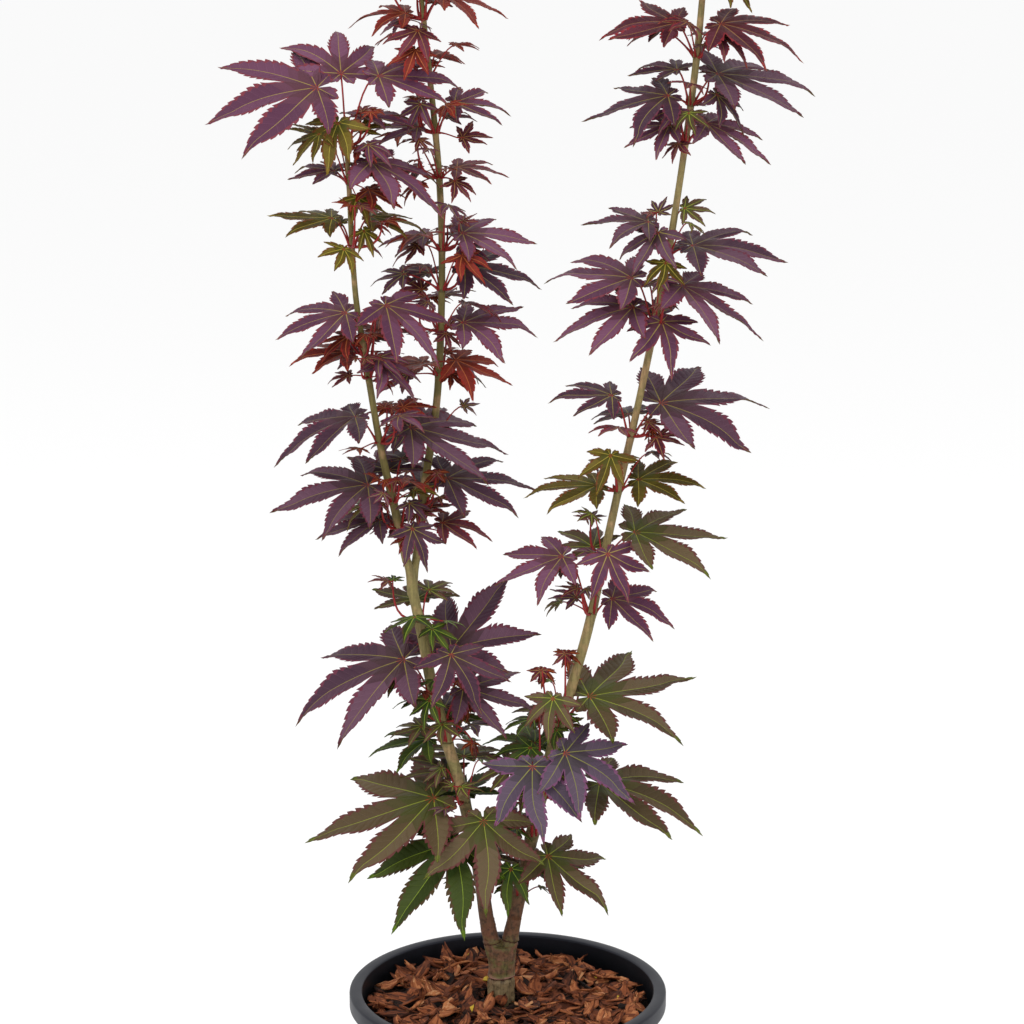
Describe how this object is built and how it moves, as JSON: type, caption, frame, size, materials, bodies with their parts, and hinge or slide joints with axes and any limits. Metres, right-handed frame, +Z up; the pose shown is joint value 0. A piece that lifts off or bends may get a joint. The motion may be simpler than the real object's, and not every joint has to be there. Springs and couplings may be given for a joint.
{
  "type": "potted japanese maple",
  "caption": "Young upright japanese maple with red-purple palmate leaves on slender forked canes, in a round black nursery pot topped with bark chips.",
  "frame": {"origin": "middle of the pot's flat underside", "axes": "+Z up, +X to the right, +Y to the back; the front (-Y) is the side the leaves face"},
  "size_m": [0.4167, 0.224, 1.0115],
  "materials": {
    "pot_plastic": "blow-moulded black polyethylene, satin",
    "bark_chips": "rust brown bark chips, matt",
    "trunk_bark": "smooth grey-brown young bark",
    "cane_bark": "smooth olive green and tan young bark",
    "leaf_purple": "dull purple-red leaves, satin",
    "leaf_dusk": "dark purple leaves, satin",
    "leaf_violet": "bluish purple leaves, satin",
    "leaf_wine": "wine red leaves, satin",
    "leaf_red": "bright red young leaves, satin",
    "leaf_bronze": "bronze green leaves, satin",
    "leaf_green": "shaded green leaves, satin",
    "leaf_olive": "olive leaves, satin"
  },
  "bodies": {
    "root": {"pot": "pot_plastic", "bark_mulch": "bark_chips", "trunk": "trunk_bark", "left_bough": "cane_bark", "right_cane": "cane_bark", "left_cane": "cane_bark", "middle_cane": "cane_bark", "left_bough_leaves_1": "leaf_bronze", "left_bough_leaves_2": "leaf_green", "left_bough_leaves_3": "leaf_bronze", "left_bough_leaves_4": "leaf_green", "left_bough_leaves_5": "leaf_bronze", "left_bough_leaves_6": "leaf_dusk", "left_bough_leaves_7": "leaf_bronze", "right_cane_leaves_1": "leaf_green", "right_cane_leaves_2": "leaf_bronze", "right_cane_leaves_3": "leaf_violet", "right_cane_leaves_4": "leaf_bronze", "right_cane_leaves_5": "leaf_violet", "right_cane_leaves_6": "leaf_bronze", "right_cane_leaves_7": "leaf_purple", "right_cane_leaves_8": "leaf_bronze", "right_cane_leaves_9": "leaf_green", "right_cane_leaves_10": "leaf_dusk", "right_cane_leaves_11": "leaf_purple", "right_cane_leaves_12": "leaf_dusk", "right_cane_leaves_13": "leaf_purple", "right_cane_leaves_14": "leaf_dusk", "right_cane_leaves_15": "leaf_wine", "right_cane_leaves_16": "leaf_dusk", "right_cane_leaves_17": "leaf_wine", "right_cane_leaves_18": "leaf_purple", "left_cane_leaves_1": "leaf_wine", "left_cane_leaves_2": "leaf_dusk", "left_cane_leaves_3": "leaf_dusk", "left_cane_leaves_4": "leaf_wine", "left_cane_leaves_5": "leaf_red", "left_cane_leaves_6": "leaf_olive", "left_cane_leaves_7": "leaf_purple", "left_cane_leaves_8": "leaf_purple", "middle_cane_leaves_1": "leaf_wine", "middle_cane_leaves_2": "leaf_dusk", "middle_cane_leaves_3": "leaf_dusk", "middle_cane_leaves_4": "leaf_red", "middle_cane_leaves_5": "leaf_purple", "middle_cane_leaves_6": "leaf_dusk", "middle_cane_leaves_7": "leaf_purple", "middle_cane_leaves_8": "leaf_wine", "middle_cane_leaves_9": "leaf_purple", "middle_cane_leaves_10": "leaf_red", "middle_cane_leaves_11": "leaf_red", "middle_cane_leaves_12": "leaf_wine", "middle_cane_leaves_13": "leaf_purple"}
  },
  "joints": []
}
